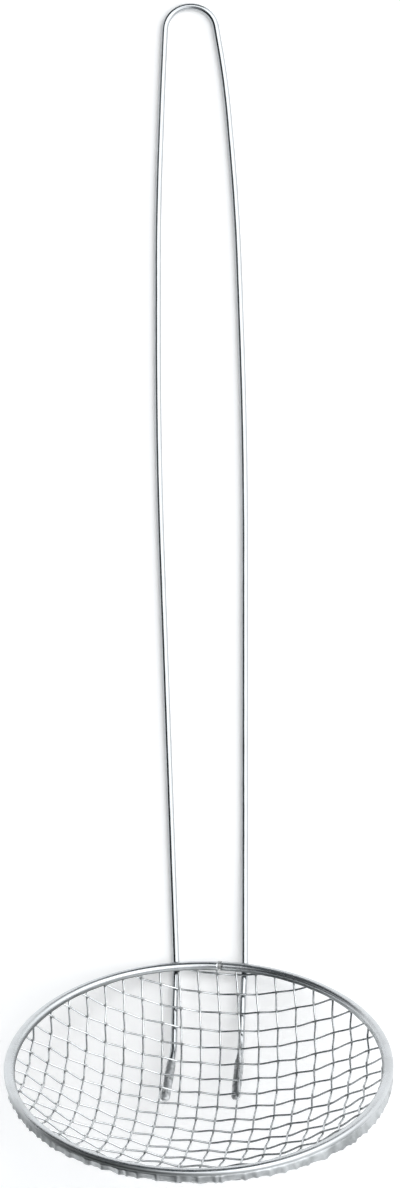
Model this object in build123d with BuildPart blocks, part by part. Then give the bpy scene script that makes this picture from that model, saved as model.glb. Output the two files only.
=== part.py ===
from build123d import *
import os
from math import asin, cos, degrees, radians, sin, sqrt, tan

# A woven wire skimmer lying on its handle. Y runs from the basket to the hanging loop,
# Z is up from the table, and the origin is under the middle of the whole skimmer.
# The basket has its own frame: x as the part, y in the ring's plane towards the handle,
# z out of the bowl's mouth, from the ring's centre.

# Rim, a strip rolled to an oval channel and bent to a ring
rim_outer_radius = 70.0
rim_width = 3.6
rim_height = 2.6
rim_wall = 0.45
rim_mouth_slack = 0.12
seam_gap = 0.9
seam_turn = 7.0
seam_proud = 0.15

# Bowl, a plain weave pressed to part of a ball
bowl_depth = 31.4
basket_tilt = 50.0
mesh_wire_diameter = 0.8
mesh_slack = 0.07
kink_radius = 2.0
warp_count = 20
weft_count = 22
warp_pitch_share = 0.1041
weft_pitch_share = 0.0968
warp_lead_share = 0.42
weft_lead_share = 0.71
warp_turn = 9.0
weft_turn = 7.4
weave_bow_share = 0.11
crowding_share = 0.06
cut_end_setback = 0.25
shortest_tail = 0.7

# Handle, one wire bent to a hairpin
handle_wire_diameter = 2.5
handle_offset = 4.9
handle_reach = 368.0
spread_at_rim = 25.3
spread_at_belly = 32.7
spread_at_shoulder = 29.9
spread_at_neck = 24.0
neck_drift = 0.4
belly_share = 0.5326
shoulder_share = 0.7799
neck_setback = 30.0
left_loop_lean = 3.5
right_loop_lean = 8.5
loop_crown = 0.6
lift_reach = 45.0
bend_share = 0.45
rim_kink_radius = 12.0
lift_radius = 200.0
seat_slack = 0.03
weld_gap = 0.05

# Leg ends, bent along the bowl's underside and hammered flat
left_wall_lean = 0.85
left_bend_lean = 1.35
left_tip_lean = 4.9
right_wall_lean = 1.15
right_bend_lean = 1.95
right_tip_lean = 4.4
leg_wall_inset = 10.7
leg_bend_inset = 22.2
leg_tip_inset = 45.5
leg_wall_radius = 40.0
leg_bend_radius = 7.0
flat_half_width = 1.75
flat_plan_length = 15.5
flat_taper = 4.0
flat_end_round = 0.35

# Spot welds
rim_weld_diameter = 2.4
mesh_weld_diameter = 1.7
mesh_welds_per_leg = 2

# Worked-out sizes
rim_radius = rim_outer_radius - rim_width / 2
ball_radius = (rim_radius**2 + bowl_depth**2) / (2 * bowl_depth)
ball_height = ball_radius - bowl_depth
mesh_wire_radius = mesh_wire_diameter / 2
knuckle_lift = mesh_wire_radius + mesh_slack / 2
mesh_half_thickness = knuckle_lift + mesh_wire_radius
cut_radius = rim_radius - cut_end_setback
wall_slope = degrees(asin(rim_radius / ball_radius))
warp_pitch = rim_radius * warp_pitch_share
weft_pitch = rim_radius * weft_pitch_share
weave_bow = rim_radius * weave_bow_share
columns = range(1 - warp_count // 2, warp_count // 2 + 1)
rows = range(1 - weft_count // 2, weft_count // 2 + 1)
handle_wire_radius = handle_wire_diameter / 2
belly_reach = handle_reach * belly_share
shoulder_reach = handle_reach * shoulder_share
neck_reach = handle_reach - neck_setback
flat_half_thickness = handle_wire_radius**2 / flat_half_width
leg_wall_y = rim_radius - leg_wall_inset
leg_bend_y = rim_radius - leg_bend_inset
leg_tip_y = rim_radius - leg_tip_inset

# Directions in the part's frame
mouth_way = Vector(0, sin(radians(basket_tilt)), cos(radians(basket_tilt)))
up = Vector(0, 0, 1)
along = Vector(0, 1, 0)
tilt = Plane(origin=(0, 0, 0), x_dir=(1, 0, 0), z_dir=mouth_way)


def rim_touch(x):
    """Way from a handle wire to the rim that it touches from below, over the place x."""
    ring_y = sqrt(rim_radius**2 - x**2)
    tangent = tilt.from_local_coords((ring_y / rim_radius, -x / rim_radius, 0))
    return tangent.cross(along).normalized()


def leg_under_rim(x):
    """Middle of a handle wire under the rim at x, from the ring's centre."""
    touch = rim_touch(x)
    axial = touch.dot(mouth_way)
    radial = sqrt(1 - axial**2)
    section = sqrt((rim_width / 2 * radial) ** 2 + (rim_height / 2 * axial) ** 2)
    ring_point = tilt.from_local_coords((x, sqrt(rim_radius**2 - x**2), 0))
    return ring_point - up * ((section + handle_wire_radius + weld_gap) / touch.Z)


left_rim_x = handle_offset - spread_at_rim / 2
right_rim_x = handle_offset + spread_at_rim / 2
ring_centre_z = handle_wire_radius - leg_under_rim(left_rim_x).Z
ball_front = ball_radius + mesh_half_thickness - ball_height * sin(radians(basket_tilt))
ring_front = rim_radius * cos(radians(basket_tilt))
handle_end = ring_front + handle_reach + handle_wire_radius
ring_centre_y = (ball_front - handle_end) / 2
ring_centre = Vector(0, ring_centre_y, ring_centre_z)
basket = Plane(origin=ring_centre, x_dir=(1, 0, 0), z_dir=mouth_way)
ring_axis = Axis(ring_centre, mouth_way)
ball_centre = ring_centre + mouth_way * ball_height


def on_ball(x, y, offset):
    """Point below the mesh's middle surface by offset, over the plan place x, y."""
    return Vector(x, y, ball_height - sqrt((ball_radius + offset) ** 2 - x**2 - y**2))


def crossing(column, row):
    """Plan place where a warp and a weft wire cross, in the basket's frame."""
    x_run = warp_pitch * (column - warp_lead_share)
    y_run = weft_pitch * (weft_lead_share - row)
    x_share = x_run / rim_radius
    y_share = y_run / rim_radius
    x = x_run * (1 - crowding_share * x_share**2) + tan(radians(warp_turn)) * y_run
    y = y_run * (1 - crowding_share * y_share**2) - tan(radians(weft_turn)) * x_run
    return Vector(x - weave_bow * y_share**2, y - weave_bow * x_share**2)


def knuckle(cell, inside):
    """Bend point of a wire at a crossing, lifted to the bowl's inside or its outside."""
    place = crossing(*cell)
    footing = place * (rim_radius / max(place.length, rim_radius))
    middle = on_ball(footing.X, footing.Y, 0)
    inward = (Vector(0, 0, ball_height) - middle).normalized()
    beyond = place - footing
    straight_wall = beyond + Vector(0, 0, beyond.length * tan(radians(wall_slope)))
    return middle + straight_wall + inward * (knuckle_lift if inside else -knuckle_lift)


def warp_knuckle(cell):
    return knuckle(cell, sum(cell) % 2 == 0)


def weft_knuckle(cell):
    return knuckle(cell, sum(cell) % 2 == 1)


def cells_within_rim(cells):
    """The crossings of one wire that lie inside the rim, and the next one at each end."""
    bend_reach = cut_radius - knuckle_lift
    within = [n for n, cell in enumerate(cells) if crossing(*cell).length < bend_reach]
    return cells[within[0] - 1 : within[-1] + 2]


def with_neighbours(numbers):
    """The wire numbers and one more at each end, where the next wire would lie."""
    return range(numbers[0] - 1, numbers[-1] + 2)


def meet_rim(start, towards):
    """Point where the run from start to towards reaches the cut circle, or else its end."""
    run = towards - start
    square = run.X**2 + run.Y**2
    half = start.X * run.X + start.Y * run.Y
    rest = start.X**2 + start.Y**2 - cut_radius**2
    share = (sqrt(half**2 - square * rest) - half) / square
    return start + run * min(share, 1)


def trim_start(points):
    """Moves the knuckle outside the rim to a cut end, and leaves out a bend right beside it."""
    outside, first, second = points[:3]
    tail = meet_rim(first, outside)
    if (tail - first).length < shortest_tail:
        return [meet_rim(second, first)] + points[2:]
    return [tail] + points[1:]


def wire_route(knuckles):
    """Bend points of one mesh wire from cut end to cut end, in the part's frame."""
    trimmed = trim_start(trim_start(knuckles)[::-1])[::-1]
    return [basket.from_local_coords(point) for point in trimmed]


def export_piece(piece, name):
    piece.part.label = name
    export_step(piece.part, f"parts/{name}.step")


os.makedirs("parts", exist_ok=True)

# Mesh wires, warp from handle to tip and weft from side to side
warps = [cells_within_rim([(column, row) for row in with_neighbours(rows)]) for column in columns]
wefts = [cells_within_rim([(column, row) for column in with_neighbours(columns)]) for row in rows]
mesh_wires = [("warp_wire", warps, warp_knuckle), ("weft_wire", wefts, weft_knuckle)]
warp_in_column = {}
weft_in_row = {}
for kind, wires, bend_point in mesh_wires:
    for number, cells in enumerate(wires, start=1):
        with BuildPart() as mesh_wire:
            with BuildLine() as route:
                FilletPolyline(*wire_route([bend_point(cell) for cell in cells]), radius=kink_radius)
            with BuildSketch(Plane(origin=route.line @ 0, z_dir=route.line % 0)):
                Circle(mesh_wire_radius)
            sweep()
        export_piece(mesh_wire, f"{kind}_{number:02d}")
        column, row = cells[0]
        if kind == "warp_wire":
            warp_in_column[column] = mesh_wire.part
        else:
            weft_in_row[row] = mesh_wire.part

# Rim channel, open to the bowl's wall and butted at its seam
seam_angle = degrees(seam_gap / rim_radius)
mouth_width = 2 * (mesh_half_thickness + rim_mouth_slack)


def seam_plane(turn):
    """Plane through the ring's axis, turned from the handle's side."""
    outward = basket.from_local_coords((sin(radians(turn)), cos(radians(turn)), 0)) - ring_centre
    return Plane(origin=ring_centre, x_dir=outward, z_dir=outward.cross(mouth_way))


def channel_section(proud):
    """Oval channel with its mouth along the bowl's wall."""
    with Locations((rim_radius, 0)):
        Ellipse(rim_width / 2 + proud, rim_height / 2 + proud)
        Ellipse(rim_width / 2 - rim_wall, rim_height / 2 - rim_wall, mode=Mode.SUBTRACT)
        Rectangle(
            rim_width,
            mouth_width,
            rotation=wall_slope,
            align=(Align.MAX, Align.CENTER),
            mode=Mode.SUBTRACT,
        )


with BuildPart() as rim:
    with BuildSketch(seam_plane(seam_turn - seam_angle / 2)):
        channel_section(0)
    revolve(axis=ring_axis, revolution_arc=360 - seam_angle)
export_piece(rim, "rim")

with BuildPart() as rim_seam_weld:
    with BuildSketch(seam_plane(seam_turn + seam_angle / 2)):
        channel_section(seam_proud)
    revolve(axis=ring_axis, revolution_arc=seam_angle)
export_piece(rim_seam_weld, "rim_seam_weld")


class Leg:
    """One end of the hairpin, from under the rim to its flat tip."""

    def __init__(self, name, rim_x, wall_lean, bend_lean, tip_lean):
        self.name = name
        self.at_rim = ring_centre + leg_under_rim(rim_x)
        self.touch_way = rim_touch(rim_x)
        wall_x = rim_x - wall_lean
        bend_x = rim_x - bend_lean
        tip_x = rim_x - tip_lean
        slope = (bend_x - tip_x) / (leg_bend_y - leg_tip_y)
        root_x = tip_x + slope * flat_plan_length
        root_y = leg_tip_y + flat_plan_length
        seat = mesh_half_thickness + seat_slack
        half_flat = (on_ball(root_x, root_y, 0) - on_ball(tip_x, leg_tip_y, 0)).length / 2
        flat_seat = ball_radius + seat + flat_half_thickness
        flat_offset = sqrt(flat_seat**2 + half_flat**2) - ball_radius
        self.plan_tip = on_ball(tip_x, leg_tip_y, flat_offset)
        self.plan_root = on_ball(root_x, root_y, flat_offset)
        bend_run = (leg_bend_y - leg_tip_y) / flat_plan_length
        bend = self.plan_tip + (self.plan_root - self.plan_tip) * bend_run
        wall_run = on_ball(wall_x, leg_wall_y, 0) - on_ball(bend_x, leg_bend_y, 0)
        sag = wall_run.length**2 / (8 * ball_radius)
        wall = on_ball(wall_x, leg_wall_y, seat + handle_wire_radius + sag)
        self.tip = basket.from_local_coords(self.plan_tip)
        self.root = basket.from_local_coords(self.plan_root)
        self.bend = basket.from_local_coords(bend)
        self.wall = basket.from_local_coords(wall)
        self.run = (self.tip - self.root).normalized()
        self.flat_length = (self.tip - self.root).length
        self.neck = self.root - self.run * flat_taper
        self.seat_way = (ball_centre - (self.tip + self.root) / 2).normalized()
        self.flat_width_way = self.run.cross(self.seat_way)


left_leg = Leg("left", left_rim_x, left_wall_lean, left_bend_lean, left_tip_lean)
right_leg = Leg("right", right_rim_x, right_wall_lean, right_bend_lean, right_tip_lean)


def handle_side(side, loop_lean):
    """Corners of one side of the hairpin on the table, from the belly to the loop."""
    ring_edge = ring_centre_y + ring_front
    lean = tan(radians(loop_lean)) * neck_setback
    neck_x = handle_offset - neck_drift + side * spread_at_neck / 2
    stations = (
        (handle_offset + side * spread_at_belly / 2, belly_reach),
        (handle_offset + side * spread_at_shoulder / 2, shoulder_reach),
        (neck_x, neck_reach),
        (neck_x - side * lean, handle_reach),
    )
    return [Vector(x, ring_edge + reach, handle_wire_radius) for x, reach in stations]


def easy_radius(before, corner, after):
    """Radius of an arc that takes up most of the shorter of two runs."""
    turn = radians((corner - before).get_angle(after - corner))
    run = min((corner - before).length, (after - corner).length)
    return bend_share * run / tan(turn / 2)


def side_radii(leg, side):
    """Bend radii at the belly, the shoulder and the neck of one side."""
    run = [leg.at_rim, *side]
    return [easy_radius(*bend) for bend in zip(run, run[1:], run[2:])]


left_side = handle_side(-1, left_loop_lean)
right_side = handle_side(1, right_loop_lean)
belly_run = right_side[0] - right_leg.at_rim
lift_place = right_leg.at_rim + belly_run * (lift_reach / belly_reach)
lift = Vector(lift_place.X, lift_place.Y, handle_wire_radius)
loop_width = right_side[-1].X - left_side[-1].X
left_loop_share = tan(radians(90 - left_loop_lean) / 2)
right_loop_share = tan(radians(90 - right_loop_lean) / 2)
loop_radius = (loop_width - loop_crown) / (left_loop_share + right_loop_share)

with BuildPart() as handle_wire:
    with BuildLine() as handle_route:
        corners = [left_leg.neck, left_leg.bend, left_leg.wall, left_leg.at_rim, *left_side]
        corners += [*reversed(right_side), lift, right_leg.at_rim]
        corners += [right_leg.wall, right_leg.bend, right_leg.neck]
        leg_radii = [leg_bend_radius, leg_wall_radius, rim_kink_radius]
        radii = [*leg_radii, *side_radii(left_leg, left_side), loop_radius, loop_radius]
        radii += [*reversed(side_radii(right_leg, right_side)), lift_radius]
        radii += reversed(leg_radii)
        FilletPolyline(*corners, radius=radii)
    with BuildSketch(Plane(origin=handle_route.line @ 0, z_dir=handle_route.line % 0)):
        Circle(handle_wire_radius)
    sweep()
    for leg in (left_leg, right_leg):
        flat_plane = Plane(origin=leg.root, x_dir=leg.flat_width_way, z_dir=leg.run)
        with BuildSketch(flat_plane.offset(-flat_taper)):
            Circle(handle_wire_radius)
        with BuildSketch(flat_plane):
            Ellipse(flat_half_width, flat_half_thickness)
        loft()
        with BuildSketch(flat_plane):
            Ellipse(flat_half_width, flat_half_thickness)
        extrude(amount=leg.flat_length)
        tip_edges = handle_wire.edges().sort_by_distance(leg.tip)[0]
        fillet(tip_edges, flat_end_round)
export_piece(handle_wire, "handle_wire")

# Welds that hold the legs to the rim
for leg in (left_leg, right_leg):
    name = f"{leg.name}_rim_weld"
    with BuildPart() as rim_weld:
        with BuildSketch(Plane(origin=leg.at_rim, z_dir=leg.touch_way)):
            Circle(rim_weld_diameter / 2)
        extrude(amount=handle_wire_radius + weld_gap + rim_wall / 2)
        add(handle_wire.part, mode=Mode.SUBTRACT)
        add(rim.part, mode=Mode.SUBTRACT)
    export_piece(rim_weld, name)


def plan_turn(first, second):
    return first.X * second.Y - first.Y * second.X


def wefts_over(leg):
    """Places on the weft wires straight over a leg's flat, nearest to the flat first."""
    flat = leg.plan_tip - leg.plan_root
    places = []
    for cells in wefts:
        for cell, next_cell in zip(cells[1:], cells[2:-1]):
            start = weft_knuckle(cell)
            run = weft_knuckle(next_cell) - start
            share = -plan_turn(start - leg.plan_root, flat) / plan_turn(run, flat)
            place = start + run * share
            reach = (place - leg.plan_root).dot(flat) / flat.dot(flat)
            if 0 < share < 1 and 0 < reach < 1:
                height = (basket.from_local_coords(place) - leg.root).dot(leg.seat_way)
                places.append((height, cell, next_cell, basket.from_local_coords(place)))
    return sorted(places, key=lambda found: found[0])[:mesh_welds_per_leg]


# Welds between the flats and the weft wires over them
for leg in (left_leg, right_leg):
    name = f"{leg.name}_mesh_weld"
    with BuildPart() as mesh_weld:
        for height, cell, next_cell, place in wefts_over(leg):
            with BuildSketch(Plane(origin=place - leg.seat_way * height, z_dir=leg.seat_way)):
                Circle(mesh_weld_diameter / 2)
            extrude(amount=height)
            add(weft_in_row[cell[1]], mode=Mode.SUBTRACT)
            add(warp_in_column[cell[0]], mode=Mode.SUBTRACT)
            add(warp_in_column[next_cell[0]], mode=Mode.SUBTRACT)
        add(handle_wire.part, mode=Mode.SUBTRACT)
    export_piece(mesh_weld, name)
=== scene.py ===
from math import asin, atan2, ceil, cos, exp, hypot, pi, radians, sin, sqrt, tan

import bpy
from mathutils import Matrix, Vector, noise


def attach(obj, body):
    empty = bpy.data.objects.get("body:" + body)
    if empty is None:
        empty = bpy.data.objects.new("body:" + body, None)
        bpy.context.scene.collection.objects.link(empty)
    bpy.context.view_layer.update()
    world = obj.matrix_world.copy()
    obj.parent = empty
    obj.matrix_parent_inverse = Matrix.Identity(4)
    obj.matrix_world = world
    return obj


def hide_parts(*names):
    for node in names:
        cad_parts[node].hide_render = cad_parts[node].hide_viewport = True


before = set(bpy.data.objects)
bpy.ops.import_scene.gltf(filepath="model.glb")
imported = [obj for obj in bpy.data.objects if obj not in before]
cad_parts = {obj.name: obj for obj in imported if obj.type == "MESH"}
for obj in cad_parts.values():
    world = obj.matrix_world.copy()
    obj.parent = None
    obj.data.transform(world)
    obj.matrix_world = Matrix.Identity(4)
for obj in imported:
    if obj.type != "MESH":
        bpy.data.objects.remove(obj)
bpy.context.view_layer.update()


MM = 0.001

# Rim and bowl, as in the part
rim_radius = 68.2 * MM
rim_half_width = 1.8 * MM
rim_half_height = 1.3 * MM
rim_wall = 0.45 * MM
rim_mouth = 1.91 * MM
seam_gap = 0.9 * MM
seam_turn = radians(7)
bowl_depth = 31.4 * MM
basket_tilt = radians(50)
ring_middle = Vector((0, -183.599 * MM, 56.081 * MM))

# Close to the rim the wall runs deeper than the ball, from a share of the radius on. The
# last two say where that fades in, by the cosine of the turn from the handle's side
swell_depth = 2.6 * MM
swell_start = 0.8
handle_side_end = 0.85
handle_side_fade = 0.65

# Weave, as in the part
mesh_wire_radius = 0.4 * MM
knuckle_lift = 0.435 * MM
cut_radius = 67.95 * MM
shortest_tail = 0.7 * MM
warp_count = 20
weft_count = 22
warp_pitch = rim_radius * 0.1041
weft_pitch = rim_radius * 0.0968
warp_lead = 0.42
weft_lead = 0.71
warp_turn = radians(9)
weft_turn = radians(7.4)
weave_bow = rim_radius * 0.11
crowding = 0.06

# Handle, as in the part
handle_wire_radius = 1.25 * MM
flat_half_width = 1.75 * MM
flat_half_thickness = 0.893 * MM
flat_length = 16.5 * MM
flat_taper = 4.0 * MM
table_z = 1.25
left_flat_width_way = Vector((-0.981763, 0.187042, 0.034016))
right_flat_width_way = Vector((-0.983421, 0.008916, -0.181117))
# Corners of the wire's route with the bend radius at each, in mm, from tip to tip
handle_corners = [
    (-12.650, -191.821, 19.549, 0),
    (-9.100, -170.856, 6.725, 7),
    (-8.600, -156.703, 3.588, 40),
    (-7.750, -140.045, table_z, 12),
    (-11.450, 56.239, table_z, 2392),
    (-10.050, 147.239, table_z, 1329),
    (-7.500, 198.239, table_z, 2430),
    (-5.665, 228.239, table_z, 9.48),
    (12.016, 228.239, table_z, 9.48),
    (16.500, 198.239, table_z, 329),
    (19.850, 147.239, table_z, 916),
    (21.250, 56.239, table_z, 2352),
    (18.399, -95.898, table_z, 200),
    (17.550, -141.237, 2.616, 12),
    (16.400, -155.658, 4.465, 40),
    (15.600, -170.104, 7.356, 7),
    (13.150, -191.770, 19.592, 0),
]

mouth_way = Vector((0, sin(basket_tilt), cos(basket_tilt)))
ring_y_way = Vector((0, cos(basket_tilt), -sin(basket_tilt)))
ring_x_way = Vector((1, 0, 0))
ball_radius = (rim_radius**2 + bowl_depth**2) / (2 * bowl_depth)
ball_height = ball_radius - bowl_depth
wall_slope = asin(rim_radius / ball_radius)


def in_basket(x, y, z):
    """A place in the basket's own frame, seen in the part's frame."""
    return ring_middle + ring_x_way * x + ring_y_way * y + mouth_way * z


def eased(share):
    """A share held between 0 and 1, with a soft start and end."""
    share = min(max(share, 0), 1)
    return share * share * (3 - 2 * share)


# Nodes
def new_group(name, kind, inputs, outputs):
    """A node group with named sockets, given as (name, socket type, default)."""
    group = bpy.data.node_groups.new(name, kind)
    for title, socket, default in inputs:
        item = group.interface.new_socket(title, in_out="INPUT", socket_type=socket)
        if default is not None:
            item.default_value = default
    for title, socket in outputs:
        group.interface.new_socket(title, in_out="OUTPUT", socket_type=socket)
    return group


def add(tree, kind, inputs=None, **settings):
    """A node with its settings made and its inputs linked, or set where they are plain."""
    node = tree.nodes.new(kind)
    for name, value in settings.items():
        setattr(node, name, value)
    for key, value in (inputs or {}).items():
        if isinstance(value, bpy.types.NodeSocket):
            tree.links.new(value, node.inputs[key])
        else:
            node.inputs[key].default_value = value
    return node


def math_node(tree, operation, *values, clamp=False):
    inputs = dict(enumerate(values))
    node = add(tree, "ShaderNodeMath", inputs, operation=operation, use_clamp=clamp)
    return node.outputs[0]


def vector_node(tree, operation, inputs, output="Vector"):
    return add(tree, "ShaderNodeVectorMath", inputs, operation=operation).outputs[output]


def range_node(tree, value, span, levels=(0.0, 1.0)):
    """Maps a value's run over a span to levels, held at both ends."""
    sockets = ("Value", "From Min", "From Max", "To Min", "To Max")
    inputs = dict(zip(sockets, (value, *span, *levels)))
    return add(tree, "ShaderNodeMapRange", inputs, clamp=True).outputs["Result"]


def noise_node(tree, vector, scale, detail, roughness=0.5):
    inputs = {"Vector": vector, "Scale": scale, "Detail": detail, "Roughness": roughness}
    return add(tree, "ShaderNodeTexNoise", inputs).outputs["Fac"]


def mix_colors(tree, share, first, second):
    inputs = {0: share, 6: first, 7: second}
    return add(tree, "ShaderNodeMix", inputs, data_type="RGBA").outputs[2]


def kept_share(tree, name):
    """A value that the mesh keeps at each point."""
    return add(tree, "ShaderNodeAttribute", attribute_name=name).outputs["Fac"]


def object_place(tree):
    return add(tree, "ShaderNodeTexCoord").outputs["Object"]


# Finishes
def tarnish_group():
    """Slow drift of the plating's tone, with dark clouds and a few specks."""
    group = new_group(
        "plating_tarnish",
        "ShaderNodeTree",
        [
            ("Bright", "NodeSocketColor", (0.8, 0.8, 0.8, 1)),
            ("Tarnished", "NodeSocketColor", (0.5, 0.45, 0.38, 1)),
            ("Amount", "NodeSocketFloat", 0.3),
            ("Cloud Scale", "NodeSocketFloat", 60.0),
            ("Speck Scale", "NodeSocketFloat", 900.0),
        ],
        [("Color", "NodeSocketColor"), ("Mask", "NodeSocketFloat")],
    )
    given = add(group, "NodeGroupInput").outputs
    place = object_place(group)
    clouds = noise_node(group, place, given["Cloud Scale"], detail=4.0, roughness=0.6)
    cloud_mask = range_node(group, clouds, (0.42, 0.75))
    speck_inputs = {"Vector": place, "Scale": given["Speck Scale"]}
    specks = add(group, "ShaderNodeTexVoronoi", speck_inputs, feature="F1")
    speck_mask = range_node(group, specks.outputs["Distance"], (0.12, 0.05), (0.0, 0.6))
    speck_mask = math_node(group, "MULTIPLY", speck_mask, cloud_mask)
    both = math_node(group, "ADD", cloud_mask, speck_mask)
    mask = math_node(group, "MULTIPLY", both, given["Amount"], clamp=True)
    color = mix_colors(group, mask, given["Bright"], given["Tarnished"])
    add(group, "NodeGroupOutput", {"Color": color, "Mask": mask})
    return group


def drawn_group():
    """Fine lines that the die left along a wire, and shallow dents of handling."""
    group = new_group(
        "drawn_surface",
        "ShaderNodeTree",
        [
            ("Line Depth", "NodeSocketFloat", 0.5),
            ("Dent Depth", "NodeSocketFloat", 0.5),
            ("Line Count", "NodeSocketFloat", 12.0),
            ("Dent Scale", "NodeSocketFloat", 160.0),
        ],
        [("Height", "NodeSocketFloat"), ("Line Mask", "NodeSocketFloat")],
    )
    given = add(group, "NodeGroupInput").outputs
    strand = add(group, "ShaderNodeAttribute", attribute_name="strand").outputs["Vector"]
    lines = noise_node(group, strand, given["Line Count"], detail=3.0)
    dents = noise_node(group, object_place(group), given["Dent Scale"], detail=2.0)
    line_height = math_node(group, "MULTIPLY", lines, given["Line Depth"])
    dent_height = math_node(group, "MULTIPLY", dents, given["Dent Depth"])
    height = math_node(group, "ADD", line_height, dent_height)
    add(group, "NodeGroupOutput", {"Height": height, "Line Mask": lines})
    return group


tarnish = tarnish_group()
drawn = drawn_group()
bump_distance = 0.1 * MM
line_rough_share = 0.4


def nickel_material(
    name,
    bright,
    tarnished,
    amount,
    cloud_scale,
    roughness,
    rough_spread,
    bump,
    line_depth,
    dent_depth,
):
    """Nickel-plated steel with tarnish clouds, drawn lines and dents."""
    material = bpy.data.materials.new(name)
    material.use_nodes = True
    tree = material.node_tree
    shader = tree.nodes["Principled BSDF"].inputs
    shader["Metallic"].default_value = 1.0
    tone_inputs = {
        "Bright": bright,
        "Tarnished": tarnished,
        "Amount": amount,
        "Cloud Scale": cloud_scale,
    }
    tone = add(tree, "ShaderNodeGroup", tone_inputs, node_tree=tarnish).outputs
    depths = {"Line Depth": line_depth, "Dent Depth": dent_depth}
    surface = add(tree, "ShaderNodeGroup", depths, node_tree=drawn).outputs
    tree.links.new(tone["Color"], shader["Base Color"])
    rough = math_node(tree, "MULTIPLY_ADD", tone["Mask"], rough_spread, roughness)
    line_rough = rough_spread * line_rough_share
    rough = math_node(tree, "MULTIPLY_ADD", surface["Line Mask"], line_rough, rough)
    tree.links.new(rough, shader["Roughness"])
    relief = {"Strength": bump, "Distance": bump_distance, "Height": surface["Height"]}
    tree.links.new(add(tree, "ShaderNodeBump", relief).outputs["Normal"], shader["Normal"])
    return material


def cover(material, share, color, rougher):
    """Lays a colour over a material by a share, and makes the material rougher there."""
    tree = material.node_tree
    shader = tree.nodes["Principled BSDF"].inputs
    bare = shader["Base Color"].links[0].from_socket
    tree.links.new(mix_colors(tree, share, bare, color), shader["Base Color"])
    smooth = shader["Roughness"].links[0].from_socket
    rough = math_node(tree, "MULTIPLY_ADD", share, rougher, smooth)
    tree.links.new(rough, shader["Roughness"])


def dull_flats(material):
    """Makes the flats darker, rougher and blotched, as hammering and welding leave them."""
    tree = material.node_tree
    clouds = noise_node(tree, object_place(tree), scale=420.0, detail=3.0, roughness=0.6)
    blotches = range_node(tree, clouds, (0.35, 0.65))
    dull = mix_colors(tree, blotches, (0.36, 0.375, 0.38, 1), (0.74, 0.75, 0.76, 1))
    cover(material, kept_share(tree, "hammered"), dull, rougher=0.3)


def shade_crossings(material):
    """Painted shade in the nicks where the wires press on each other, darker grey in
    patches.
    """
    tree = material.node_tree
    clouds = noise_node(tree, object_place(tree), scale=300.0, detail=2.0)
    patchy = range_node(tree, clouds, (0.35, 0.6), (0.2, 0.75))
    near = range_node(tree, kept_share(tree, "from_crossing"), (1.1 * MM, 0.5 * MM))
    share = math_node(tree, "MULTIPLY", near, patchy)
    cover(material, share, (0.17, 0.18, 0.18, 1), rougher=0.25)


def shade_outer_side(material):
    """Painted shade on the outer side of the mesh, darker in patches."""
    tree = material.node_tree
    clouds = noise_node(tree, object_place(tree), scale=120.0, detail=2.0)
    patchy = range_node(tree, clouds, (0.35, 0.6), (0.55, 0.9))
    facing = range_node(tree, kept_share(tree, "outer_side"), (-0.05, 0.6))
    share = math_node(tree, "MULTIPLY", facing, patchy)
    cover(material, share, (0.15, 0.16, 0.165, 1), rougher=0.15)


def shade_crease(material):
    """Painted shade where the bead and its lips meet, and on darker stretches of the lips.
    """
    share = kept_share(material.node_tree, "painted_shade")
    cover(material, share, (0.10, 0.11, 0.11, 1), rougher=0.25)


handle_nickel = nickel_material(
    "handle_nickel",
    bright=(0.52, 0.54, 0.555, 1),
    tarnished=(0.38, 0.385, 0.385, 1),
    amount=0.3,
    cloud_scale=45.0,
    roughness=0.09,
    rough_spread=0.12,
    bump=0.25,
    line_depth=0.5,
    dent_depth=0.6,
)
mesh_nickel = nickel_material(
    "mesh_nickel",
    bright=(0.69, 0.71, 0.72, 1),
    tarnished=(0.42, 0.425, 0.42, 1),
    amount=0.35,
    cloud_scale=80.0,
    roughness=0.12,
    rough_spread=0.15,
    bump=0.2,
    line_depth=0.4,
    dent_depth=0.8,
)
rim_nickel = nickel_material(
    "rim_nickel",
    bright=(0.66, 0.68, 0.695, 1),
    tarnished=(0.40, 0.41, 0.41, 1),
    amount=0.4,
    cloud_scale=55.0,
    roughness=0.2,
    rough_spread=0.18,
    bump=0.3,
    line_depth=0.3,
    dent_depth=0.9,
)
lip_nickel = nickel_material(
    "lip_nickel",
    bright=(0.60, 0.62, 0.63, 1),
    tarnished=(0.17, 0.18, 0.18, 1),
    amount=0.6,
    cloud_scale=220.0,
    roughness=0.24,
    rough_spread=0.2,
    bump=0.6,
    line_depth=0.3,
    dent_depth=2.0,
)
weld_nickel = nickel_material(
    "weld_nickel",
    bright=(0.60, 0.61, 0.61, 1),
    tarnished=(0.26, 0.25, 0.24, 1),
    amount=0.7,
    cloud_scale=400.0,
    roughness=0.30,
    rough_spread=0.3,
    bump=0.5,
    line_depth=0.2,
    dent_depth=1.2,
)
dull_flats(handle_nickel)
shade_crossings(mesh_nickel)
shade_outer_side(mesh_nickel)
shade_crease(rim_nickel)
shade_crease(lip_nickel)


# Weave
def away_from_handle(x, y):
    """0 beside the handle's legs, and 1 round the far side of the ring."""
    return eased((handle_side_end - y / hypot(x, y)) / handle_side_fade)


def swell(x, y):
    """How much deeper than the ball the wall runs close to the rim."""
    share = (hypot(x, y) / rim_radius - swell_start) / (1 - swell_start)
    if share <= 0:
        return 0
    return swell_depth * share * share * away_from_handle(x, y)


def on_wall(x, y):
    """The bowl's wall above a place in plan, in the basket's frame."""
    height = ball_height - sqrt(ball_radius**2 - x**2 - y**2)
    return Vector((x, y, height - swell(x, y)))


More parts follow.
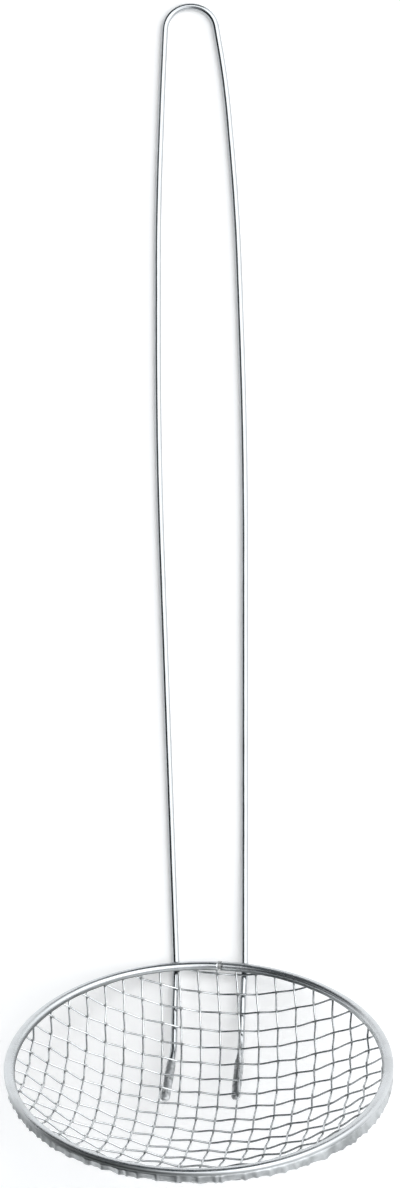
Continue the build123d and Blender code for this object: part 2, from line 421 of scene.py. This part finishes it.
def crossing(column, row):
    """Plan place where a warp and a weft wire cross, in the basket's frame."""
    x_run = warp_pitch * (column - warp_lead)
    y_run = weft_pitch * (weft_lead - row)
    x_share = x_run / rim_radius
    y_share = y_run / rim_radius
    x = x_run * (1 - crowding * x_share**2) + tan(warp_turn) * y_run
    y = y_run * (1 - crowding * y_share**2) - tan(weft_turn) * x_run
    return Vector((x - weave_bow * y_share**2, y - weave_bow * x_share**2, 0))


def knuckle(cell, inside):
    """Middle of a wire where it passes inside or outside the one that it crosses."""
    place = crossing(*cell)
    footing = place * (rim_radius / max(place.length, rim_radius))
    middle = on_wall(footing.x, footing.y)
    inward = (Vector((0, 0, ball_height)) - middle).normalized()
    beyond = place - footing
    straight_wall = beyond + Vector((0, 0, beyond.length * tan(wall_slope)))
    return middle + straight_wall + inward * (knuckle_lift if inside else -knuckle_lift)


def cells_within_rim(cells):
    """The crossings inside the rim, and one more at each end."""
    reach = cut_radius - knuckle_lift
    within = [n for n, cell in enumerate(cells) if crossing(*cell).length < reach]
    return cells[within[0] - 1 : within[-1] + 2]


def meet_rim(start, towards):
    """Where a run from inside the rim reaches the cut."""
    run = towards - start
    square = run.x**2 + run.y**2
    half = start.x * run.x + start.y * run.y
    rest = start.x**2 + start.y**2 - cut_radius**2
    share = (sqrt(half**2 - square * rest) - half) / square
    return start + run * min(share, 1)


def trim_start(points):
    """Cuts a wire at the rim, and leaves out a knuckle that is too close to the cut."""
    outside, first, second = points[:3]
    tail = meet_rim(first, outside)
    if (tail - first).length < shortest_tail:
        return [meet_rim(second, first)] + points[2:]
    return [tail] + points[1:]


def into_bead(tail):
    """Where a tail that lies under the bead turns up into it."""
    if tail.z > -rim_half_height:
        return []
    outward = rim_radius / hypot(tail.x, tail.y)
    return [Vector((tail.x * outward, tail.y * outward, -rim_half_height / 2))]


tail_turns = []


def wire_route(knuckles):
    """A wire's route in the part's frame, from rim to rim. Its tails' turns are kept."""
    trimmed = trim_start(trim_start(knuckles)[::-1])[::-1]
    first, last = trimmed[0], trimmed[-1]
    tail_turns.extend(atan2(tail.x, tail.y) % (2 * pi) for tail in (first, last))
    return [in_basket(*point) for point in into_bead(first) + trimmed + into_bead(last)]


columns = range(1 - warp_count // 2, warp_count // 2 + 1)
rows = range(1 - weft_count // 2, weft_count // 2 + 1)
all_columns = range(columns[0] - 1, columns[-1] + 2)
all_rows = range(rows[0] - 1, rows[-1] + 2)
wire_knuckles = {}
for number, column in enumerate(columns, start=1):
    cells = cells_within_rim([(column, row) for row in all_rows])
    knuckles = [knuckle(cell, inside=sum(cell) % 2 == 0) for cell in cells]
    wire_knuckles[f"warp_wire_{number:02d}"] = knuckles
for number, row in enumerate(rows, start=1):
    cells = cells_within_rim([(column, row) for column in all_columns])
    knuckles = [knuckle(cell, inside=sum(cell) % 2 == 1) for cell in cells]
    wire_knuckles[f"weft_wire_{number:02d}"] = knuckles


# How far the drawn lines' pattern runs on along each metre of wire
strand_stretch = 12.0
# Between one wire's waver and the next one's
seed_step = 1.7


def crimped_wire_tree():
    """Turns a line of knuckles into a smooth round wire that wavers a little."""
    tree = new_group(
        "crimped_wire",
        "GeometryNodeTree",
        [
            ("Geometry", "NodeSocketGeometry", None),
            ("Wire Radius", "NodeSocketFloat", mesh_wire_radius),
            ("Sample Length", "NodeSocketFloat", 0.65 * MM),
            ("Sides", "NodeSocketInt", 12),
            ("Waver", "NodeSocketFloat", 0.1 * MM),
            ("Waver Scale", "NodeSocketFloat", 60.0),
            ("Seed", "NodeSocketFloat", 0.0),
            ("Ball Centre", "NodeSocketVector", in_basket(0, 0, ball_height)),
            ("Material", "NodeSocketMaterial", None),
        ],
        [("Geometry", "NodeSocketGeometry")],
    )
    given = add(tree, "NodeGroupInput").outputs
    place = add(tree, "GeometryNodeInputPosition").outputs["Position"]

    def step(kind, inputs, output="Geometry", **settings):
        return add(tree, kind, inputs, **settings).outputs[output]

    def capture(geometry, kind, name, value):
        """Keeps a value at each point, and gives the geometry and the kept value."""
        node = add(tree, "GeometryNodeCaptureAttribute", domain="POINT")
        node.capture_items.new(kind, name)
        tree.links.new(geometry, node.inputs["Geometry"])
        tree.links.new(value, node.inputs[name])
        return node.outputs["Geometry"], node.outputs[name]

    def store(geometry, kind, name, value):
        """Stores a value at each point under a name, for a material to read."""
        inputs = {"Geometry": geometry, "Name": name, "Value": value}
        settings = {"data_type": kind, "domain": "POINT"}
        return step("GeometryNodeStoreNamedAttribute", inputs, **settings)

    route = step("GeometryNodeMeshToCurve", {"Mesh": given["Geometry"]}, "Curve")
    to_smooth = {"Curve": route}
    route = step(
        "GeometryNodeCurveSplineType", to_smooth, "Curve", spline_type="CATMULL_ROM"
    )
    to_sample = {"Curve": route, "Length": given["Sample Length"]}
    route = step("GeometryNodeResampleCurve", to_sample, "Curve", mode="LENGTH")
    waver_inputs = {
        "Vector": place,
        "Scale": given["Waver Scale"],
        "W": given["Seed"],
        "Detail": 1.0,
    }
    waver = step("ShaderNodeTexNoise", waver_inputs, "Color", noise_dimensions="4D")
    waver = vector_node(tree, "SUBTRACT", {0: waver, 1: (0.5, 0.5, 0.5)})
    waver = vector_node(tree, "SCALE", {0: waver, "Scale": given["Waver"]})
    route = step("GeometryNodeSetPosition", {"Geometry": route, "Offset": waver})

    circle_inputs = {"Radius": given["Wire Radius"], "Resolution": given["Sides"]}
    section = step(
        "GeometryNodeCurvePrimitiveCircle", circle_inputs, "Curve", mode="RADIUS"
    )
    run = add(tree, "GeometryNodeSplineParameter").outputs["Length"]
    route, along = capture(route, "FLOAT", "Along", run)
    section, on_section = capture(section, "VECTOR", "Place", place)
    skin_inputs = {"Curve": route, "Profile Curve": section, "Fill Caps": True}
    wire = step("GeometryNodeCurveToMesh", skin_inputs, "Mesh")

    unit = vector_node(tree, "NORMALIZE", {0: on_section})
    across = add(tree, "ShaderNodeSeparateXYZ", {0: unit}).outputs
    stretched = math_node(tree, "MULTIPLY", along, strand_stretch)
    strand_parts = {"X": stretched, "Y": across["X"], "Z": across["Y"]}
    strand = step("ShaderNodeCombineXYZ", strand_parts, "Vector")
    wire = store(wire, "FLOAT_VECTOR", "strand", strand)

    search = {"Geometry": given["Geometry"], "Sample Position": place}
    distance = step("GeometryNodeProximity", search, "Distance", target_element="POINTS")
    wire = store(wire, "FLOAT", "from_crossing", distance)

    outward = vector_node(tree, "SUBTRACT", {0: place, 1: given["Ball Centre"]})
    outward = vector_node(tree, "NORMALIZE", {0: outward})
    normal = add(tree, "GeometryNodeInputNormal").outputs["Normal"]
    facing = vector_node(tree, "DOT_PRODUCT", {0: normal, 1: outward}, "Value")
    wire = store(wire, "FLOAT", "outer_side", facing)

    wire = step("GeometryNodeSetShadeSmooth", {"Geometry": wire})
    wire = step("GeometryNodeRealizeInstances", {"Geometry": wire})
    dressed = {"Geometry": wire, "Material": given["Material"]}
    wire = step("GeometryNodeSetMaterial", dressed)
    add(tree, "NodeGroupOutput", {"Geometry": wire})
    return tree


def socket_id(tree, name):
    return next(
        socket.identifier
        for socket in tree.interface.items_tree
        if socket.name == name and socket.in_out == "INPUT"
    )


def run_tree(tree, points, values):
    """Evaluates a tree on a line of points and gives the finished mesh."""
    line = bpy.data.meshes.new("route")
    line.from_pydata(points, [(n, n + 1) for n in range(len(points) - 1)], [])
    holder = bpy.data.objects.new("route", line)
    bpy.context.scene.collection.objects.link(holder)
    modifier = holder.modifiers.new("tree", "NODES")
    modifier.node_group = tree
    for name, value in values.items():
        modifier[socket_id(tree, name)] = value
    graph = bpy.context.evaluated_depsgraph_get()
    mesh = bpy.data.meshes.new_from_object(holder.evaluated_get(graph))
    bpy.data.objects.remove(holder)
    bpy.data.meshes.remove(line)
    return mesh


def place_piece(name, mesh, node):
    """A mesh as a piece of the part, in place of a node's own shape."""
    piece = bpy.data.objects.new(name, mesh)
    bpy.context.scene.collection.objects.link(piece)
    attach(piece, "root")
    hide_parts(node)


crimped_wire = crimped_wire_tree()
for seed, (name, knuckles) in enumerate(wire_knuckles.items()):
    values = {"Seed": seed * seed_step, "Material": mesh_nickel}
    mesh = run_tree(crimped_wire, wire_route(knuckles), values)
    mesh.name = f"{name}_crimped"
    place_piece(f"{name}_crimped", mesh, name)


# Sweeps with a section that may change on the way
def sweep_mesh(name, rings):
    """A capped skin over rings of points, with its place on the strand kept."""
    count = len(rings[0])
    verts = [point for ring in rings for point in ring]
    faces = []
    for n in range(len(rings) - 1):
        for k in range(count):
            a = n * count + k
            b = n * count + (k + 1) % count
            faces.append((a, b, b + count, a + count))
    faces.append(tuple(reversed(range(count))))
    last = (len(rings) - 1) * count
    faces.append(tuple(range(last, last + count)))
    mesh = bpy.data.meshes.new(name)
    mesh.from_pydata(verts, [], faces)
    middles = [sum(ring, Vector()) / count for ring in rings]
    run = 0.0
    strand = mesh.attributes.new("strand", "FLOAT_VECTOR", "POINT")
    for n, middle in enumerate(middles):
        run += (middle - middles[max(n - 1, 0)]).length
        for k in range(count):
            turn = 2 * pi * k / count
            strand.data[n * count + k].vector = (run * strand_stretch, cos(turn), sin(turn))
    mesh.polygons.foreach_set("use_smooth", [True] * len(mesh.polygons))
    for cap in list(mesh.polygons)[-2:]:
        cap.use_smooth = False
    return mesh


def place_sweep(name, rings, material, share, values, node):
    """A sweep as a piece, with a share from 0 to 1 kept at each point for its material."""
    mesh = sweep_mesh(name, rings)
    mesh.attributes.new(share, "FLOAT", "POINT").data.foreach_set("value", values)
    mesh.materials.append(material)
    place_piece(name, mesh, node)


def spread(values, rings):
    """Each ring's value, once for each of its points."""
    return [value for value, ring in zip(values, rings) for point in ring]


# Handle
handle_sides = 28
handle_step = 1.2 * MM
nose_length = 0.7 * MM
tip_size = 0.55
hammered_width = 0.05
hammered_width_scale = 180
hammered_thickness = 0.06
hammered_thickness_scale = 260
fewest_arc_steps = 4


def rounded_route(corners, step):
    """Points along straight runs and arcs, from corners that carry their bend radius."""
    places = [Vector(corner[:3]) * MM for corner in corners]
    points = [places[0]]
    for before, corner, after, sized in zip(places, places[1:], places[2:], corners[1:]):
        to_before = (before - corner).normalized()
        to_after = (after - corner).normalized()
        half_turn = (pi - to_before.angle(to_after)) / 2
        radius = sized[3] * MM
        reach = radius * tan(half_turn)
        centre = corner + (to_before + to_after).normalized() * (radius / cos(half_turn))
        start = corner + to_before * reach
        spoke = start - centre
        axis = to_after.cross(to_before).normalized()
        count = max(fewest_arc_steps, ceil(2 * half_turn * radius / step))
        for n in range(count + 1):
            turn = Matrix.Rotation(2 * half_turn * n / count, 3, axis)
            points.append(centre + turn @ spoke)
    points.append(places[-1])
    filled = [points[0]]
    for point in points[1:]:
        gap = point - filled[-1]
        parts = max(1, ceil(gap.length / step))
        start = filled[-1]
        filled += [start + gap * ((n + 1) / parts) for n in range(parts)]
    return filled


def carried_frames(points, first_side):
    """Tangents and sides along a route, with the side carried on without twist."""
    tangents = []
    for n in range(len(points)):
        before = points[max(n - 1, 0)]
        after = points[min(n + 1, len(points) - 1)]
        tangents.append((after - before).normalized())
    side = (first_side - tangents[0] * first_side.dot(tangents[0])).normalized()
    sides = [side]
    for tangent in tangents[1:]:
        side = (side - tangent * side.dot(tangent)).normalized()
        sides.append(side)
    return tangents, sides


def handle_rings():
    """The wire's rings from tip to tip, and how much of each is hammered flat."""
    points = rounded_route(handle_corners, handle_step)
    tangents, sides = carried_frames(points, left_flat_width_way)
    run = [0.0]
    for first, second in zip(points, points[1:]):
        run.append(run[-1] + (second - first).length)
    total = run[-1]
    twist = sides[-1].angle(right_flat_width_way)
    if sides[-1].cross(right_flat_width_way).dot(tangents[-1]) < 0:
        twist = -twist
    rings = []
    hammered = []
    for point, tangent, side, distance in zip(points, tangents, sides, run):
        turned = Matrix.Rotation(twist * distance / total, 3, tangent) @ side
        other = tangent.cross(turned)
        from_tip = min(distance, total - distance)
        flat = eased((flat_length + flat_taper - from_tip) / flat_taper)
        half_width = handle_wire_radius + (flat_half_width - handle_wire_radius) * flat
        half_thick = handle_wire_radius + (flat_half_thickness - handle_wire_radius) * flat
        if from_tip < nose_length:
            grown = sqrt(max(1 - (1 - from_tip / nose_length) ** 2, 0))
            grown = tip_size + (1 - tip_size) * grown
            half_width *= grown
            half_thick *= grown
        if flat > 0:
            width_noise = noise.noise(point * hammered_width_scale)
            thickness_noise = noise.noise(point * hammered_thickness_scale)
            half_width *= 1 + hammered_width * flat * width_noise
            half_thick *= 1 + hammered_thickness * flat * thickness_noise
        ring = []
        for k in range(handle_sides):
            angle = 2 * pi * k / handle_sides
            sideways = turned * (half_width * cos(angle))
            ring.append(point + sideways + other * (half_thick * sin(angle)))
        rings.append(ring)
        hammered.append(flat)
    return rings, hammered


rings, hammered = handle_rings()
place_sweep(
    "handle_wire_bent",
    rings,
    handle_nickel,
    "hammered",
    spread(hammered, rings),
    "handle_wire",
)

# Rim, an oval channel with its mouth along the bowl's wall. Turns are counted from the
# handle's side, clockwise from above
rim_steps = 480
outer_quarter_points = 12
inner_quarter_points = 9
rim_wave = 0.05 * MM
rim_wave_scale = 7
rim_squeeze = 0.03
rim_squeeze_scale = 9
rim_squeeze_offset = Vector((0, 0, 5))
# Painted shade in the crease under the bead: where round the ring it is strongest, and how
# far up the bead it reaches
crease_turn = radians(212)
crease_reach = radians(42)
right_crease_turn = radians(132)
right_crease_reach = radians(10)
right_crease_share = 0.4
crease_top = 1.0 * MM
crease_full = 0.25 * MM
seam_half_angle = seam_gap / rim_radius / 2
rim_start = seam_turn + seam_half_angle
rim_end = seam_turn - seam_half_angle + 2 * pi


def ring_turns(count):
    """Even turns round the ring from one side of its seam to the other."""
    return [rim_start + (rim_end - rim_start) * n / count for n in range(count + 1)]


def on_ring(way, section):
    """A section of (radial, axial) places from the ring's middle line, set at one turn."""
    return [
        in_basket(way.x * (rim_radius + radial), way.y * (rim_radius + radial), axial)
        for radial, axial in section
    ]


def hump(turn, middle, reach):
    """1 at the middle, falling to 0 on both sides."""
    return exp(-(((turn - middle) / reach) ** 2))


def positive_noise(place):
    return 0.5 + 0.5 * noise.noise(place)


def oval_arc(inset, quarter_points):
    """Points on an oval from one lip of the mouth round to the other, mouth to the bowl."""
    half_width = rim_half_width - inset
    half_height = rim_half_height - inset
    wall = Vector((cos(wall_slope), sin(wall_slope)))
    across = Vector((-wall.y, wall.x))
    kept = []
    for n in range(quarter_points * 4):
        angle = 2 * pi * n / (quarter_points * 4)
        x, y = half_width * cos(angle), half_height * sin(angle)
        along = x * wall.x + y * wall.y
        aside = x * across.x + y * across.y
        if not (along < 0 and abs(aside) < rim_mouth / 2):
            kept.append((x, y))
    gaps = [(Vector(kept[n]) - Vector(kept[n - 1])).length for n in range(len(kept))]
    first = gaps.index(max(gaps))
    return kept[first:] + kept[:first]


channel = oval_arc(0, outer_quarter_points) + oval_arc(rim_wall, inner_quarter_points)[::-1]


def rim_rings(turns):
    """The channel carried round the ring, a little uneven as rolling leaves it."""
    rings = []
    for turn in turns:
        way = Vector((cos(turn), sin(turn), 0))
        pressed = rim_wave * positive_noise(way * rim_wave_scale)
        squeeze = positive_noise(way * rim_squeeze_scale + rim_squeeze_offset)
        squeezed = 1 - rim_squeeze * squeeze
        ring = []
        for radial, axial in channel:
            radius = rim_radius + radial - pressed
            x, y = radius * sin(turn), radius * cos(turn)
            ring.append(in_basket(x, y, axial * squeezed))
        rings.append(ring)
    return rings


def right_crease(turn):
    return right_crease_share * hump(turn, right_crease_turn, right_crease_reach)


def crease_shade(turns):
    """Painted shade on the bead's outer under side, most on the left of the far side."""
    values = []
    for turn in turns:
        share = hump(turn, crease_turn, crease_reach) + right_crease(turn)
        for radial, axial in channel:
            depth = min(max((crease_top - axial) / (crease_top - crease_full), 0), 1)
            values.append(share * depth if radial > 0 else 0.0)
    return values


def place_strip(name, rings, material, painted_shade):
    place_sweep(name, rings, material, "painted_shade", painted_shade, "rim")


turns = ring_turns(rim_steps)
place_strip("rim_rolled", rim_rings(turns), rim_nickel, crease_shade(turns))

# Lip of the rim, pressed on the mesh's outer side and lumpy from the wires under it
lip_steps = 1200
lip_depth = 2.5 * MM
lip_far_extra = 1.0 * MM
lip_out = 0.45 * MM
lip_edge = 0.08 * MM
lip_root_depth = 0.6 * MM
lip_waist_share = 0.45
lip_flare_depth = 0.9 * MM
lip_flare_out = 1.2 * MM
lip_flare_turn = radians(122)
lip_flare_reach = radians(42)
lump_reach = 0.85 * MM / rim_radius
lump_depth = 0.3 * MM
lump_out = 0.45 * MM
lip_wave_depth = 0.4 * MM
lip_wave_scale = 9
lip_chew_depth = 0.3 * MM
lip_chew_out = 0.15 * MM
lip_chew_scale = 34
lip_smooth_turn = radians(97)
lip_smooth_reach = radians(17)
# Painted shade on a stretch of the lip, and on the crease's stretch on the right
lip_shade_share = 0.6
lip_shade_turn = radians(237)
lip_shade_reach = radians(24)


def lump(turn):
    """How much the nearest mesh wires raise the lip, 0 to 1."""
    return min(1, sum(hump(turn, tail, lump_reach) for tail in tail_turns))


def lip_rings(turns):
    """The lip's closed section at each turn, from its root in the bead to its edge."""
    rings = []
    for turn in turns:
        way = Vector((sin(turn), cos(turn), 0))
        lumpiness = 1 - hump(turn, lip_smooth_turn, lip_smooth_reach)
        raised = lump(turn) * lumpiness
        uneven = noise.noise(way * lip_wave_scale)
        chewed = noise.noise(way * lip_chew_scale) * lumpiness
        flare = hump(turn, lip_flare_turn, lip_flare_reach)
        foot = lip_depth + lip_far_extra * away_from_handle(*way.xy)
        foot += lip_flare_depth * flare
        foot += lump_depth * raised + lip_wave_depth * uneven + lip_chew_depth * chewed
        out = lip_out + lump_out * raised + lip_flare_out * flare + lip_chew_out * chewed
        section = [
            (0.7 * MM, -lip_root_depth),
            (0.5 * MM, -lip_waist_share * foot),
            (out - 0.02 * MM, -0.8 * foot),
            (out, -foot + lip_edge),
            (0.2 * MM + out, -foot),
            (0.42 * MM + out, -foot + lip_edge),
            (0.5 * MM + out, -0.85 * foot),
            (1.0 * MM + 0.4 * (out - lip_out), -lip_waist_share * foot),
            (1.2 * MM, -lip_root_depth),
        ]
        rings.append(on_ring(way, section))
    return rings


turns = ring_turns(lip_steps)
rings = lip_rings(turns)
painted_shade = [
    lip_shade_share * hump(turn, lip_shade_turn, lip_shade_reach) + right_crease(turn)
    for turn in turns
]
place_strip("rim_lip", rings, lip_nickel, spread(painted_shade, rings))

# Inner lip of the rim, a narrow edge on the mesh's upper side
inner_lip_root = 0.9 * MM
inner_lip_reach = 2.16 * MM
inner_lip_wave = 0.12 * MM
inner_lip_wave_scale = 11
inner_lip_near = 0.86 * MM
inner_lip_thickness = 0.26 * MM
# Painted shade on a stretch of the inner lip
inner_shade_share = 0.85
inner_shade_turn = radians(312)
inner_shade_reach = radians(55)


def inner_lip_rings(turns):
    """A thin strip along the wall, from within the bead to a little past it."""
    down_wall = Vector((-cos(wall_slope), -sin(wall_slope)))
    off_wall = Vector((-sin(wall_slope), cos(wall_slope)))
    near = inner_lip_near
    far = near + inner_lip_thickness
    rings = []
    for turn in turns:
        way = Vector((sin(turn), cos(turn), 0))
        tip = inner_lip_reach + inner_lip_wave * noise.noise(way * inner_lip_wave_scale)
        section = [
            down_wall * inner_lip_root + off_wall * (far + 0.15 * MM),
            down_wall * (tip - 0.06 * MM) + off_wall * far,
            down_wall * tip + off_wall * (near + 0.1 * MM),
            down_wall * (tip - 0.05 * MM) + off_wall * near,
            down_wall * inner_lip_root + off_wall * near,
        ]
        rings.append(on_ring(way, section))
    return rings


turns = ring_turns(rim_steps)
rings = inner_lip_rings(turns)
painted_shade = [
    inner_shade_share * hump(turn, inner_shade_turn, inner_shade_reach) for turn in turns
]
place_strip("rim_inner_lip", rings, lip_nickel, spread(painted_shade, rings))

# Welds keep their own shapes
weld_nodes = (
    "rim_seam_weld",
    "left_rim_weld",
    "right_rim_weld",
    "left_mesh_weld",
    "right_mesh_weld",
)
for node in weld_nodes:
    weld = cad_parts[node]
    weld.data.materials.clear()
    weld.data.materials.append(weld_nickel)

# Table, a hair below the part
table_half_width = 15.0
table_drop = 0.02 * MM
table_glow = 0.2


def table_material():
    """Matt white, seen whiter by the eye and in the metal than the light on it makes it."""
    material = bpy.data.materials.new("white_table")
    material.use_nodes = True
    tree = material.node_tree
    shader = tree.nodes["Principled BSDF"].inputs
    shader["Base Color"].default_value = (0.98, 0.98, 0.98, 1)
    shader["Roughness"].default_value = 0.9
    shader["Specular IOR Level"].default_value = 0.1
    shader["Emission Color"].default_value = (1, 1, 1, 1)
    seen = add(tree, "ShaderNodeLightPath").outputs
    seen = math_node(tree, "MAXIMUM", seen["Is Camera Ray"], seen["Is Glossy Ray"])
    glow = math_node(tree, "MULTIPLY", seen, table_glow)
    tree.links.new(glow, shader["Emission Strength"])
    return material


half = table_half_width
table_corners = [(-half, -half, 0), (half, -half, 0), (half, half, 0), (-half, half, 0)]
table_mesh = bpy.data.meshes.new("table_top")
table_mesh.from_pydata(table_corners, [], [(0, 1, 2, 3)])
table_mesh.materials.append(table_material())
table_top = bpy.data.objects.new("table_top", table_mesh)
table_top.location.z = -table_drop
bpy.context.scene.collection.objects.link(table_top)


# Light
def area_light(name, place, aim, size, power):
    data = bpy.data.lights.new(name, "AREA")
    data.shape = "RECTANGLE"
    data.size, data.size_y = size
    data.energy = power
    lamp = bpy.data.objects.new(name, data)
    lamp.location = place
    lamp.rotation_euler = (Vector(aim) - Vector(place)).to_track_quat("-Z", "Y").to_euler()
    bpy.context.scene.collection.objects.link(lamp)


area_light("key_softbox", place=(1.5, 0.2, 1.1), aim=(0, 0, 0), size=(1.6, 2.2), power=4)

softbox_white = (2.12, 2.15, 2.18, 1)
room_darkest = (0.015, 0.018, 0.02, 1)
room_dark = (0.085, 0.095, 0.105, 1)
left_grey = (0.42, 0.43, 0.44, 1)
near_grey = (0.26, 0.27, 0.28, 1)
page_white = (1, 1, 1, 1)


def studio_world():
    """A white wall on the right, a strip softbox overhead with a gap for the camera, and a
    dark rest, drawn by how far to the right and to the far side each ray goes."""
    world = bpy.data.worlds.new("studio")
    world.use_nodes = True
    sky = world.node_tree
    sky.nodes.clear()
    way = add(sky, "ShaderNodeTexCoord").outputs["Generated"]
    right, far = add(sky, "ShaderNodeSeparateXYZ", {0: way}).outputs[:2]

    def fade(value, span, levels=(0.0, 1.0)):
        return range_node(sky, value, span, levels)

    def times(first, second):
        return math_node(sky, "MULTIPLY", first, second)

    def squared_reach(middle, half_size):
        """Square of the distance from an oval's middle, 1 on its edge."""
        squares = []
        for value, centre, half in zip((right, far), middle, half_size):
            offset = math_node(sky, "SUBTRACT", value, centre)
            reach = math_node(sky, "DIVIDE", offset, half)
            squares.append(times(reach, reach))
        return math_node(sky, "ADD", *squares)

    wall_edge = fade(far, (0.4, 0.95), (0.0, 0.45))
    wall = fade(math_node(sky, "SUBTRACT", right, wall_edge), (-0.1, 0.06))
    far_end = fade(far, (0.62, 0.9), (1.0, 0.3))
    near_end = fade(far, (-0.8, -0.35), (0.25, 1.0))
    low_right = fade(right, (0.5, 0.9), (1.0, 0.55))
    wall = times(wall, times(times(far_end, near_end), low_right))
    strip = fade(squared_reach((0.08, 0.28), (0.42, 0.25)), (1.25, 0.85))
    camera_reach = math_node(sky, "SQRT", squared_reach((0.0, -0.1), (1.0, 1.0)))
    camera_gap = fade(camera_reach, (0.15, 0.3), (0.4, 1.0))
    level = times(math_node(sky, "MAXIMUM", wall, strip), camera_gap)

    room = mix_colors(sky, fade(right, (-0.65, -0.2)), room_darkest, room_dark)
    left_glow = times(fade(far, (0.12, 0.4)), fade(right, (-0.85, -0.6), (1.0, 0.0)))
    room = mix_colors(sky, left_glow, room, left_grey)
    near_glow = times(fade(far, (-0.05, 0.12), (1.0, 0.0)), fade(right, (-0.6, -0.3)))
    room = mix_colors(sky, near_glow, room, near_grey)
    studio = mix_colors(sky, level, room, softbox_white)

    # White behind the table's edge, where the camera looks past it
    seen = add(sky, "ShaderNodeLightPath").outputs["Is Camera Ray"]
    color = mix_colors(sky, seen, studio, page_white)
    background = add(sky, "ShaderNodeBackground", {"Color": color})
    add(sky, "ShaderNodeOutputWorld", {"Surface": background.outputs[0]})
    return world


bpy.context.scene.world = studio_world()

# Camera, from a fit to the rim, the handle and the mesh
sensor_width = 36.0
picture_width = 400
focal_length = 6234.0
camera_data = bpy.data.cameras.new("camera")
camera_data.sensor_fit = "HORIZONTAL"
camera_data.sensor_width = sensor_width
camera_data.lens = focal_length / picture_width * sensor_width
camera_data.clip_start = 0.05
camera_data.clip_end = 20
camera = bpy.data.objects.new("camera", camera_data)
camera.location = (7.003 * MM, -457.206 * MM, 2284.683 * MM)
camera.rotation_euler = (0.1976, 0.0050, -0.0171)
bpy.context.scene.collection.objects.link(camera)
bpy.context.scene.camera = camera
bpy.context.scene.view_settings.view_transform = "Standard"
